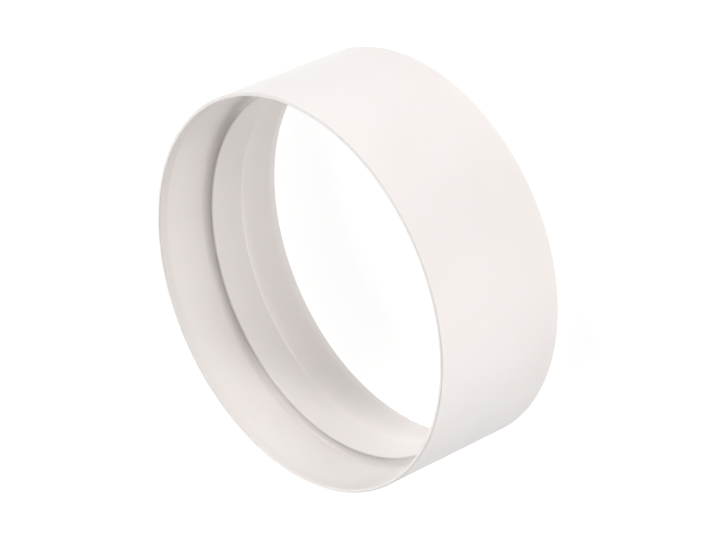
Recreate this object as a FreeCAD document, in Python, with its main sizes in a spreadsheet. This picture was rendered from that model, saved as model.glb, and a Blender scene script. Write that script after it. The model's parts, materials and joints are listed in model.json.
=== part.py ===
import FreeCAD
import Part
import Sketcher
import os

# Round duct connector, moulded in one piece: a straight sleeve with a socket at each end and a raised
# stop ring between them. A duct slides into each mouth until it meets the ring.
#
# Frame: millimetres, axis on +Z, standing on the lower rim, origin at the centre of that rim.

# Alias, value in millimetres and meaning of each driving dimension.
DRIVING_DIMENSIONS = [
    ("duct_diameter", 102.0, "outside of the duct that each socket takes"),
    ("slip_clearance", 0.1, "radial play of the duct in its socket"),
    ("socket_wall", 1.4, "wall round each socket"),
    ("upper_socket_depth", 15.7, "upper rim to the upper step of the stop ring"),
    ("stop_width", 10.3, "stop ring along the axis"),
    ("lower_socket_depth", 14.0, "lower rim to the lower step of the stop ring"),
    ("stop_height", 2.25, "stop ring above the socket wall"),
    ("stop_cove", 1.8, "concave radius at the foot of each step"),
    ("stop_chamfer", 0.3, "chamfer on the stop ring's two edges"),
    ("lead_in_length", 2.3, "flare inside each mouth, along the axis"),
    ("lead_in_depth", 0.4, "flare inside each mouth, along the radius"),
    ("rim_chamfer", 0.25, "chamfer on the edges of both rims"),
    ("least_flat", 0.1, "flat that a cove or a chamfer leaves at least on a step or a rim"),
]

SLEEVE_LABEL = "coupling_sleeve"
PARTS_FOLDER = "parts"
FULL_TURN = 360.0
MATCH = 1e-6

# The property that sizes each kind of edge treatment.
SIZE_OF = {"Fillet": "Radius", "Chamfer": "Size"}

SOCKET_RADIUS = "dimensions.duct_diameter / 2 + dimensions.slip_clearance"

# The cove and the rims' chamfers, each no larger than its step or rim has room for.
STEP_ROOM = "dimensions.stop_height - dimensions.stop_chamfer - dimensions.least_flat"
STOP_COVE = f"min(dimensions.stop_cove; {STEP_ROOM})"
STOP_CHAMFER = "dimensions.stop_chamfer"
RIM_ROOM = "dimensions.socket_wall - dimensions.lead_in_depth - dimensions.least_flat"
RIM_CHAMFER = f"min(dimensions.rim_chamfer; ({RIM_ROOM}) / 2)"

# The numbers by which constraints know a line's two ends and the sketch's own origin and axes.
START, END = 1, 2
ORIGIN = (-1, 1)
HORIZONTAL_AXIS = -1

UPRIGHT_LINES = ("outer_wall", "upper_socket", "stop_face", "lower_socket")
LEVEL_LINES = ("upper_rim", "upper_step", "lower_step", "lower_rim")

# Distances in the half-section: from one line's end to another's, with the cell that gives the distance.
SECTION_DISTANCES = [
    ("DistanceX", ("upper_socket", START), ("outer_wall", END), "socket_wall"),
    ("DistanceX", ("upper_step", END), ("upper_step", START), "stop_height"),
    ("DistanceY", ("stop_face", END), ("stop_face", START), "stop_width"),
    ("DistanceY", ("upper_step", START), ("upper_rim", START), "upper_socket_depth"),
    ("DistanceY", ("lower_rim", END), ("lower_step", END), "lower_socket_depth"),
    ("DistanceY", ("upper_lead_in", END), ("upper_lead_in", START), "lead_in_length"),
    ("DistanceX", ("upper_lead_in", END), ("upper_lead_in", START), "lead_in_depth"),
    ("DistanceY", ("lower_lead_in", END), ("lower_lead_in", START), "lead_in_length"),
    ("DistanceX", ("lower_lead_in", START), ("lower_lead_in", END), "lead_in_depth"),
]


def fill_sheet(document):
    """Put each driving dimension in a cell of its own, beside its meaning."""
    sheet = document.addObject("Spreadsheet::Sheet", "dimensions")
    for row, (alias, value, meaning) in enumerate(DRIVING_DIMENSIONS, 1):
        sheet.set(f"A{row}", meaning)
        sheet.set(f"B{row}", str(value))
        sheet.setAlias(f"B{row}", alias)
    document.recompute()
    return sheet


def section_places(sheet):
    """Work out the radii and heights of the half-section's corners."""
    socket = sheet.duct_diameter / 2 + sheet.slip_clearance
    lower_step = sheet.lower_socket_depth
    upper_step = lower_step + sheet.stop_width
    return {
        "socket": socket,
        "outer": socket + sheet.socket_wall,
        "mouth": socket + sheet.lead_in_depth,
        "stop": socket - sheet.stop_height,
        "lower_step": lower_step,
        "upper_step": upper_step,
        "length": upper_step + sheet.upper_socket_depth,
    }


def draw_half_section(body, sheet, places):
    """Draw the wall's half-section with sharp corners: radius to the right, height upwards."""
    outer, mouth, socket, stop = (places[name] for name in ("outer", "mouth", "socket", "stop"))
    length = places["length"]
    # Each line has the name of the face that it sweeps, and runs from its corner here to the next one.
    corners = {
        "outer_wall": (outer, 0),
        "upper_rim": (outer, length),
        "upper_lead_in": (mouth, length),
        "upper_socket": (socket, length - sheet.lead_in_length),
        "upper_step": (socket, places["upper_step"]),
        "stop_face": (stop, places["upper_step"]),
        "lower_step": (stop, places["lower_step"]),
        "lower_socket": (socket, places["lower_step"]),
        "lower_lead_in": (socket, sheet.lead_in_length),
        "lower_rim": (mouth, 0),
    }
    sketch = body.newObject("Sketcher::SketchObject", "half_section")
    plane = next(item for item in body.Origin.OriginFeatures if item.Role == "XZ_Plane")
    sketch.AttachmentSupport = [(plane, "")]
    sketch.MapMode = "FlatFace"

    points = [FreeCAD.Vector(radius, height, 0) for radius, height in corners.values()]
    next_points = points[1:] + points[:1]
    line = {}
    for name, start, end in zip(corners, points, next_points):
        line[name] = sketch.addGeometry(Part.LineSegment(start, end), False)

    names = list(line)
    next_names = names[1:] + names[:1]
    for name, next_name in zip(names, next_names):
        sketch.addConstraint(Sketcher.Constraint("Coincident", line[name], END, line[next_name], START))
    for name in UPRIGHT_LINES:
        sketch.addConstraint(Sketcher.Constraint("Vertical", line[name]))
    for name in LEVEL_LINES:
        sketch.addConstraint(Sketcher.Constraint("Horizontal", line[name]))
    sketch.addConstraint(Sketcher.Constraint("PointOnObject", line["lower_rim"], END, HORIZONTAL_AXIS))
    in_line = (line["lower_socket"], START, line["upper_socket"], END)
    sketch.addConstraint(Sketcher.Constraint("Vertical", *in_line))

    from_axis = (*ORIGIN, line["upper_socket"], START, socket)
    bind(sketch, "socket_radius", Sketcher.Constraint("DistanceX", *from_axis), SOCKET_RADIUS)
    for kind, (first, first_end), (second, second_end), alias in SECTION_DISTANCES:
        ends = (line[first], first_end, line[second], second_end)
        distance = Sketcher.Constraint(kind, *ends, sheet.get(alias))
        bind(sketch, f"{alias}_at_{first}", distance, f"dimensions.{alias}")
    return sketch


def bind(sketch, name, constraint, expression):
    """Add a named constraint whose value follows the sheet."""
    index = sketch.addConstraint(constraint)
    sketch.renameConstraint(index, name)
    sketch.setExpression(f"Constraints.{name}", expression)


def dress_edges(body, kind, name, circles, size):
    """Put a fillet or a chamfer on the body's circular edges of the given radii and heights."""
    base = body.Tip
    chosen = []
    for number, edge in enumerate(base.Shape.Edges, 1):
        if isinstance(edge.Curve, Part.Circle):
            radius, height = edge.Curve.Radius, edge.Curve.Center.z
            if any(abs(radius - r) + abs(height - z) < MATCH for r, z in circles):
                chosen.append(f"Edge{number}")
    if len(chosen) != len(circles):
        raise RuntimeError(f"{name}: {len(chosen)} edges found for {len(circles)} circles")
    feature = body.newObject(f"PartDesign::{kind}", name)
    feature.Base = (base, chosen)
    feature.setExpression(SIZE_OF[kind], size)
    body.Document.recompute()


def make_sleeve(document, sheet):
    """Revolve the half-section about the axis, then shape the stop ring's edges and the rims."""
    body = document.addObject("PartDesign::Body", SLEEVE_LABEL)
    body.Label = SLEEVE_LABEL
    places = section_places(sheet)
    sketch = draw_half_section(body, sheet, places)
    document.recompute()
    sweep = body.newObject("PartDesign::Revolution", "wall")
    sweep.Profile = sketch
    sweep.ReferenceAxis = (sketch, ["V_Axis"])
    sweep.Angle = FULL_TURN
    document.recompute()

    steps = (places["upper_step"], places["lower_step"])
    step_feet = [(places["socket"], height) for height in steps]
    step_edges = [(places["stop"], height) for height in steps]
    rim_edges = [(places[wall], height) for wall in ("outer", "mouth") for height in (places["length"], 0)]
    dress_edges(body, "Fillet", "stop_coves", step_feet, STOP_COVE)
    dress_edges(body, "Chamfer", "stop_chamfers", step_edges, STOP_CHAMFER)
    dress_edges(body, "Chamfer", "rim_chamfers", rim_edges, RIM_CHAMFER)
    body.Placement = FreeCAD.Placement()
    return body


def check(document, bodies):
    """Stop if any object failed to compute or a sub-part has no sound solid."""
    document.recompute()
    for item in document.Objects:
        if {"Invalid", "Error"} & set(item.State):
            raise RuntimeError(f"{item.Name} failed: {item.State}")
    for body in bodies:
        if body.Shape.isNull() or not body.Shape.isValid() or len(body.Shape.Solids) != 1:
            raise RuntimeError(f"{body.Label} is not one sound solid")


def main():
    document = FreeCAD.newDocument("duct_connector")
    sheet = fill_sheet(document)
    bodies = [make_sleeve(document, sheet)]
    check(document, bodies)
    os.makedirs(PARTS_FOLDER, exist_ok=True)
    for body in bodies:
        body.Shape.exportStep(os.path.join(PARTS_FOLDER, f"{body.Label}.step"))


main()
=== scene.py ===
import json
import math

import bpy
from mathutils import Matrix, Vector


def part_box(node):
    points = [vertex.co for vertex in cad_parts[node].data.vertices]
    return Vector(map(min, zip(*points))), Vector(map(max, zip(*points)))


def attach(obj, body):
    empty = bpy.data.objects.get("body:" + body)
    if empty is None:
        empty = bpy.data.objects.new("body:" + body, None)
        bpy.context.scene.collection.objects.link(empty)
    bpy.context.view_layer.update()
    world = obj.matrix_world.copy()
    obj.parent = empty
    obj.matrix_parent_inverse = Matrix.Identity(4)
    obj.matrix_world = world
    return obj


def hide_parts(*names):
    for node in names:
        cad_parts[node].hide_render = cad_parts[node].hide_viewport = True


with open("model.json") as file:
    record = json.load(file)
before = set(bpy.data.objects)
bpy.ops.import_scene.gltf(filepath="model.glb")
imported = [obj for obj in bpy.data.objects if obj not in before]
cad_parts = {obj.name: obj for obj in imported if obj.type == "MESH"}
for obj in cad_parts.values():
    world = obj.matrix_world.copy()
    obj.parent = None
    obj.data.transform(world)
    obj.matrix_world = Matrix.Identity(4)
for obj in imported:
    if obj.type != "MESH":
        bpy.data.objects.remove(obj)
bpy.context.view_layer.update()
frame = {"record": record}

MM = 0.001
SLEEVE_NODE = "coupling_sleeve"

# The moulded sleeve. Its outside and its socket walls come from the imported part. These repeat the part's
# own sizes: the stop ring's height above the socket wall, its coves, and the depth of each lead-in.
STOP_HEIGHT = 2.25 * MM
STOP_COVE = 1.8 * MM
LEAD_IN_DEPTH = 0.4 * MM

# Rounds on the stop ring's two edges and on the rims, in place of the part's small chamfers, and the
# round that blends each lead-in into its socket wall.
UPPER_STOP_EDGE = 0.5 * MM
LOWER_STOP_EDGE = 0.15 * MM
RIM_EDGE = 0.4 * MM
LEAD_IN_BLEND = 3.0 * MM

# How finely the sleeve is divided: steps round its axis, and steps along each arc of its half-section.
STEPS_ROUND = 360
ARC_STEP = math.radians(10)
LEAST_ARC_STEPS = 2

# The photograph's view: a pinhole camera, in pixels of the 716 by 540 frame, and the sleeve's axis in it.
# The near mouth's depth is in outer radii of the sleeve.
IMAGE_WIDTH, IMAGE_HEIGHT = 716, 540
SENSOR_WIDTH = 36.0
FOCAL_PIXELS = 3535.0
NEAR_MOUTH_PIXEL = (294.1, 295.2)
NEAR_MOUTH_DEPTH = 16.70
AXIS_FROM_VIEW = math.radians(52.83)
AXIS_IN_IMAGE = math.radians(23.81)

# The plastic: its gloss, how far light spreads inside it in red, green and blue, and its tones.
PLASTIC_IOR = 1.5
SPECULAR_LEVEL = 0.5
ROUGHNESS_SPREAD = (0.4, 0.46)
SCATTERED_SHARE = 1.0
SCATTER_LENGTH = 0.5 * MM
SCATTER_BY_COLOUR = (1.0, 0.95, 0.9)
DARKER_TONE = (0.855, 0.816, 0.794, 1)
LIGHTER_TONE = (0.875, 0.838, 0.818, 1)
TONE_SPREAD = (0.3, 0.7)

# The noise that clouds the tone, changes the gloss and makes the mould grain: cells in a metre, and detail.
CLOUDS = (45.0, 3.0)
GLOSS_PATCHES = (160.0, 4.0)
GRAINS = (2200.0, 2.0)
GRAIN_STRENGTH = 0.06
GRAIN_HEIGHT = 0.05 * MM

# The studio's table, which gives light of its own: its grey and its glow as they light the sleeve, and as
# the camera and reflections show them, where the grey keeps a faint shadow. White shows beyond the table.
FLOOR_HALF_WIDTH = 3.0
LIGHTING_GREY = 0.3
LIGHTING_GLOW = 0.77
SEEN_GREY = 0.3
SEEN_GLOW = 0.87
WHITE = (1, 1, 1, 1)

# The soft lamps round it, most of them low. Each has its azimuth and elevation in degrees, its power in
# watts and its width in metres.
LAMP_DISTANCE = 1.2
LAMPS = [
    ("key", 0, 25, 7.6, 0.3),
    ("low_fill", -103, 5, 4.5, 0.5),
    ("fill", -110, 15, 4.7, 0.5),
    ("back", 95, 45, 8.8, 0.5),
]


def socket_span(name):
    """Lowest and highest point of a socket's plain round wall, and its radius."""
    mount = next(m for m in frame["record"]["mounts"] if m["name"] == name)
    half = mount["dims"]["length_mm"] * MM / 2
    middle = mount["pos_m"][2]
    return middle - half, middle + half, mount["dims"]["r_mm"] * MM


def sleeve_section():
    """Corners of the wall's half-section as (radius, height, rounding), counter-clockwise."""
    low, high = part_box(SLEEVE_NODE)
    outer, length = high.x, high.z
    # Both sockets take the same duct, so one radius serves for both.
    lower_start, lower_end, socket = socket_span("lower_socket")
    upper_start, upper_end, _ = socket_span("upper_socket")
    mouth = socket + LEAD_IN_DEPTH
    stop = socket - STOP_HEIGHT
    lower_step = lower_end + STOP_COVE
    upper_step = upper_start - STOP_COVE
    return [
        (outer, low.z, RIM_EDGE),
        (outer, length, RIM_EDGE),
        (mouth, length, RIM_EDGE),
        (socket, upper_end, LEAD_IN_BLEND),
        (socket, upper_step, STOP_COVE),
        (stop, upper_step, UPPER_STOP_EDGE),
        (stop, lower_step, LOWER_STOP_EDGE),
        (socket, lower_step, STOP_COVE),
        (socket, lower_start, LEAD_IN_BLEND),
        (mouth, low.z, RIM_EDGE),
    ]


def rounded(corners):
    """Outline of a polygon with each corner turned into an arc, as (point, outward normal) pairs."""
    outline = []
    for index, (x, y, radius) in enumerate(corners):
        corner = Vector((x, y))
        before = (corner - Vector(corners[index - 1][:2])).normalized()
        after = (Vector(corners[(index + 1) % len(corners)][:2]) - corner).normalized()
        turn = before.angle_signed(after)
        side = math.copysign(1.0, -turn)
        start = corner - before * radius * math.tan(abs(turn) / 2)
        outward = Vector((before.y, -before.x))
        centre = start - outward * radius * side
        steps = max(LEAST_ARC_STEPS, math.ceil(abs(turn) / ARC_STEP))
        for step in range(steps + 1):
            angle = -turn * step / steps
            normal = Matrix.Rotation(angle, 2) @ outward
            outline.append((centre + normal * radius * side, normal))
    return outline


def revolve(name, outline):
    """Closed ring mesh swept by an outline of (radius, height) points, with the outline's own normals."""
    vertices, normals, faces = [], [], []
    count = len(outline)
    up = Vector((0, 0, 1))
    for step in range(STEPS_ROUND):
        angle = math.tau * step / STEPS_ROUND
        across = Vector((math.cos(angle), math.sin(angle), 0))
        for point, normal in outline:
            vertices.append(across * point.x + up * point.y)
            normals.append(across * normal.x + up * normal.y)
    for step in range(STEPS_ROUND):
        here, there = step * count, (step + 1) % STEPS_ROUND * count
        for index in range(count):
            following = (index + 1) % count
            faces.append((here + index, there + index, there + following, here + following))
    mesh = bpy.data.meshes.new(name)
    mesh.from_pydata(vertices, [], faces)
    mesh.shade_smooth()
    mesh.normals_split_custom_set_from_vertices(normals)
    piece = bpy.data.objects.new(name, mesh)
    bpy.context.scene.collection.objects.link(piece)
    return piece


def plastic():
    """Warm white moulded plastic that lets a little light through: satin, faintly grained and clouded."""
    material = bpy.data.materials.new("satin_white_plastic")
    material.use_nodes = True
    nodes, links = material.node_tree.nodes, material.node_tree.links
    shader = nodes["Principled BSDF"]
    shader.inputs["IOR"].default_value = PLASTIC_IOR
    shader.inputs["Specular IOR Level"].default_value = SPECULAR_LEVEL
    shader.inputs["Subsurface Weight"].default_value = SCATTERED_SHARE
    shader.inputs["Subsurface Radius"].default_value = SCATTER_BY_COLOUR
    shader.inputs["Subsurface Scale"].default_value = SCATTER_LENGTH
    place = nodes.new("ShaderNodeTexCoord")

    def noise(scale, detail):
        node = nodes.new("ShaderNodeTexNoise")
        node.inputs["Scale"].default_value = scale
        node.inputs["Detail"].default_value = detail
        links.new(place.outputs["Object"], node.inputs["Vector"])
        return node.outputs["Fac"]

    tone = nodes.new("ShaderNodeValToRGB")
    tones = zip(tone.color_ramp.elements, TONE_SPREAD, (DARKER_TONE, LIGHTER_TONE))
    for element, position, colour in tones:
        element.position = position
        element.color = colour
    links.new(noise(*CLOUDS), tone.inputs["Fac"])
    links.new(tone.outputs["Color"], shader.inputs["Base Color"])

    gloss = nodes.new("ShaderNodeMapRange")
    gloss.inputs["To Min"].default_value, gloss.inputs["To Max"].default_value = ROUGHNESS_SPREAD
    links.new(noise(*GLOSS_PATCHES), gloss.inputs["Value"])
    links.new(gloss.outputs["Result"], shader.inputs["Roughness"])

    grain = nodes.new("ShaderNodeBump")
    grain.inputs["Strength"].default_value = GRAIN_STRENGTH
    grain.inputs["Distance"].default_value = GRAIN_HEIGHT
    links.new(noise(*GRAINS), grain.inputs["Height"])
    links.new(grain.outputs["Normal"], shader.inputs["Normal"])
    return material


def add_floor():
    """Plain pale floor that shows white and keeps a faint shadow of the sleeve."""
    half = FLOOR_HALF_WIDTH
    mesh = bpy.data.meshes.new("floor")
    corners = [(-half, -half, 0), (half, -half, 0), (half, half, 0), (-half, half, 0)]
    mesh.from_pydata(corners, [], [(0, 1, 2, 3)])
    floor = bpy.data.objects.new("floor", mesh)
    bpy.context.scene.collection.objects.link(floor)
    material = bpy.data.materials.new("pale_floor")
    material.use_nodes = True
    nodes, links = material.node_tree.nodes, material.node_tree.links
    nodes.clear()
    output = nodes.new("ShaderNodeOutputMaterial")
    choose = nodes.new("ShaderNodeMixShader")
    links.new(seen_rays(nodes, links), choose.inputs["Fac"])
    links.new(lit_and_glowing(nodes, links, LIGHTING_GREY, LIGHTING_GLOW), choose.inputs[1])
    links.new(lit_and_glowing(nodes, links, SEEN_GREY, SEEN_GLOW), choose.inputs[2])
    links.new(choose.outputs["Shader"], output.inputs["Surface"])
    mesh.materials.append(material)


def lit_and_glowing(nodes, links, grey, glow):
    """Shader of a plain grey surface that also gives light of its own."""
    plain = nodes.new("ShaderNodeBsdfDiffuse")
    plain.inputs["Color"].default_value = (grey, grey, grey, 1)
    light = nodes.new("ShaderNodeEmission")
    light.inputs["Strength"].default_value = glow
    both = nodes.new("ShaderNodeAddShader")
    links.new(plain.outputs["BSDF"], both.inputs[0])
    links.new(light.outputs["Emission"], both.inputs[1])
    return both.outputs["Shader"]


def seen_rays(nodes, links):
    """1 for rays that show the background: from the camera, in gloss and through glass. Otherwise 0."""
    path = nodes.new("ShaderNodeLightPath")
    total = path.outputs["Is Camera Ray"]
    for name in ("Is Glossy Ray", "Is Transmission Ray"):
        either = nodes.new("ShaderNodeMath")
        either.operation = "MAXIMUM"
        links.new(total, either.inputs[0])
        links.new(path.outputs[name], either.inputs[1])
        total = either.outputs["Value"]
    return total


def add_world():
    """Surroundings that show white to the camera and in reflections, and give no other light."""
    world = bpy.data.worlds.new("studio")
    bpy.context.scene.world = world
    world.use_nodes = True
    nodes, links = world.node_tree.nodes, world.node_tree.links
    nodes.clear()
    output = nodes.new("ShaderNodeOutputWorld")
    white = nodes.new("ShaderNodeBackground")
    white.inputs["Color"].default_value = WHITE
    links.new(seen_rays(nodes, links), white.inputs["Strength"])
    links.new(white.outputs["Background"], output.inputs["Surface"])


def add_lamp(name, azimuth, elevation, power, size):
    """Square soft lamp that looks at the sleeve from a direction given in degrees."""
    low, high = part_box(SLEEVE_NODE)
    turn, rise = math.radians(azimuth), math.radians(elevation)
    towards = Vector((math.cos(turn) * math.cos(rise), math.sin(turn) * math.cos(rise), math.sin(rise)))
    light = bpy.data.lights.new(name, "AREA")
    light.shape = "SQUARE"
    light.size = size
    light.energy = power
    lamp = bpy.data.objects.new(name, light)
    lamp.location = (low + high) / 2 + towards * LAMP_DISTANCE
    lamp.rotation_mode = "QUATERNION"
    lamp.rotation_quaternion = (-towards).to_track_quat("-Z", "Y")
    bpy.context.scene.collection.objects.link(lamp)


def add_camera():
    """Camera that sees the sleeve, upper mouth nearest, as the photograph shows it."""
    _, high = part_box(SLEEVE_NODE)
    radius, mouth = high.x, Vector((0, 0, high.z))
    # The sleeve's axis, from the near mouth to the far one, along the image's right, its up and the view.
    along_right = math.cos(AXIS_IN_IMAGE) * math.sin(AXIS_FROM_VIEW)
    along_up = math.sin(AXIS_IN_IMAGE) * math.sin(AXIS_FROM_VIEW)
    along_view = math.cos(AXIS_FROM_VIEW)
    view = Vector((0, math.sin(AXIS_FROM_VIEW), -along_view))
    level = Vector((1, 0, 0))
    rise = level.cross(view)
    roll = math.atan2(along_right, -along_up)
    right = level * math.cos(roll) - rise * math.sin(roll)
    up = right.cross(view)
    depth = NEAR_MOUTH_DEPTH * radius
    off_right = (NEAR_MOUTH_PIXEL[0] - IMAGE_WIDTH / 2) / FOCAL_PIXELS * depth
    off_up = (IMAGE_HEIGHT / 2 - NEAR_MOUTH_PIXEL[1]) / FOCAL_PIXELS * depth
    camera = bpy.data.objects.new("camera", bpy.data.cameras.new("camera"))
    camera.data.sensor_width = SENSOR_WIDTH
    camera.data.lens = FOCAL_PIXELS / IMAGE_WIDTH * SENSOR_WIDTH
    place = mouth - right * off_right - up * off_up - view * depth
    camera.matrix_world = Matrix.Translation(place) @ Matrix((right, up, -view)).transposed().to_4x4()
    bpy.context.scene.collection.objects.link(camera)
    bpy.context.scene.camera = camera


sleeve = revolve("moulded_sleeve", rounded(sleeve_section()))
sleeve.data.materials.append(plastic())
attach(sleeve, "root")
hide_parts(SLEEVE_NODE)

add_floor()
add_world()
for lamp in LAMPS:
    add_lamp(*lamp)
add_camera()
bpy.context.scene.view_settings.view_transform = "Standard"
